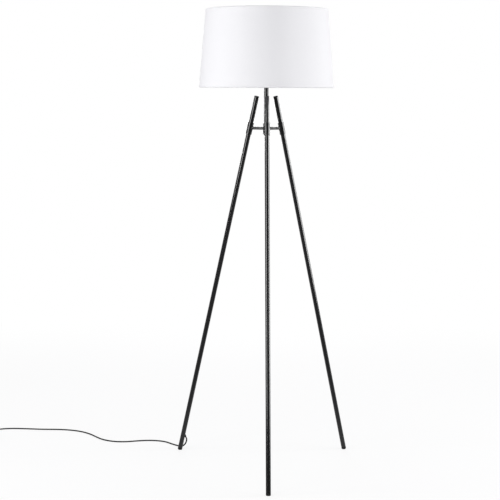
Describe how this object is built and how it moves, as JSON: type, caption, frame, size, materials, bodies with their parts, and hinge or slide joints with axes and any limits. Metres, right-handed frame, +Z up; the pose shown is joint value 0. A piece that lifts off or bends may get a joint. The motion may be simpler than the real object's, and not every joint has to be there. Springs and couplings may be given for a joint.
{
  "type": "tripod floor lamp",
  "caption": "Floor lamp on straight splayed tube legs joined by arms to a small hub, with a short stem, a white tapered drum shade and a black cord with a foot switch.",
  "frame": {"origin": "on the floor, under the lamp's vertical axis", "axes": "+Z up along the stem, the front leg points along -Y, +X to the right seen from the front"},
  "size_m": [1.3928, 0.7954, 1.55],
  "materials": {
    "satin_black": "satin black powder coat",
    "black_plastic": "moulded, fine grain",
    "button_plastic": "moulded, smooth",
    "foot_rubber": "matte",
    "zinc_steel": "bright zinc",
    "contact_brass": "plain",
    "insert_white": "glazed",
    "shade_fabric": "fine woven white, lined with film",
    "white_wire": "white coated wire",
    "bulb_metal": "pressed thread",
    "bulb_black": "glassy",
    "bulb_white": "smooth",
    "bulb_opal": "opal",
    "cord_black": "smooth jacket"
  },
  "bodies": {
    "stand": {"leg_front": "satin_black", "leg_right": "satin_black", "leg_left": "satin_black", "sleeve_front": "satin_black", "sleeve_right": "satin_black", "sleeve_left": "satin_black", "arm_front": "satin_black", "arm_right": "satin_black", "arm_left": "satin_black", "hub": "satin_black", "stem": "satin_black", "leg_cap_front": "black_plastic", "leg_cap_right": "black_plastic", "leg_cap_left": "black_plastic", "hub_cap": "black_plastic", "holder_cap": "black_plastic", "holder_barrel": "black_plastic", "cord_outlet": "black_plastic", "switch_base": "black_plastic", "switch_cover": "black_plastic", "cord_reliefs": "black_plastic", "plug_body": "black_plastic", "coil_tie": "black_plastic", "foot_front": "foot_rubber", "foot_right": "foot_rubber", "foot_left": "foot_rubber", "set_screws": "zinc_steel", "stem_bush": "zinc_steel", "nipple": "zinc_steel", "lock_nut": "zinc_steel", "lock_washer": "zinc_steel", "terminal_screws": "zinc_steel", "switch_screws": "zinc_steel", "switch_spring": "zinc_steel", "plug_pins": "zinc_steel", "screw_shell": "contact_brass", "centre_contact": "contact_brass", "switch_contacts": "contact_brass", "contact_insert": "insert_white", "inner_cord": "cord_black", "cord_run": "cord_black", "cord_link": "cord_black", "cord_coil": "cord_black", "cord_tail": "cord_black"},
    "shade": {"shade_cover": "shade_fabric", "lower_hem": "shade_fabric", "upper_hem": "shade_fabric", "lower_ring": "white_wire", "upper_ring": "white_wire", "spoke_back": "white_wire", "spoke_left": "white_wire", "spoke_right": "white_wire", "fitter_ring": "white_wire"},
    "clamp": {"clamp_ring": "black_plastic"},
    "bulb_lifter": {"bulb_contact": "contact_brass"},
    "bulb": {"bulb_insulator": "bulb_black", "bulb_cap": "bulb_metal", "bulb_housing": "bulb_white", "bulb_globe": "bulb_opal"},
    "button": {"switch_button": "button_plastic"}
  },
  "joints": [
    {"name": "shade_turn", "type": "hinge", "parent": "stand", "child": "shade", "pos_m": [0, 0, 1.335], "axis": [0, 0, 1], "continuous": true},
    {"name": "clamp_turn", "type": "hinge", "parent": "stand", "child": "clamp", "pos_m": [0, 0, 1.337], "axis": [0, 0, 1], "range_deg": [0, 90]},
    {"name": "bulb_lift", "type": "slide", "parent": "stand", "child": "bulb_lifter", "axis": [0, 0, 1], "range_m": [0, 0.018]},
    {"name": "bulb_turn", "type": "hinge", "parent": "bulb_lifter", "child": "bulb", "pos_m": [0, 0, 1.338], "axis": [0, 0, 1], "range_deg": [0, 1784.6]},
    {"name": "button_press", "type": "slide", "parent": "stand", "child": "button", "axis": [0, 0, -1], "range_m": [0, 0.003], "stiffness_N_per_m": 1200, "deforming": ["switch_spring"]}
  ],
  "couplings": [
    {"joint": "bulb_lift", "follows": "bulb_turn", "m_per_rad": 0.00057773}
  ]
}
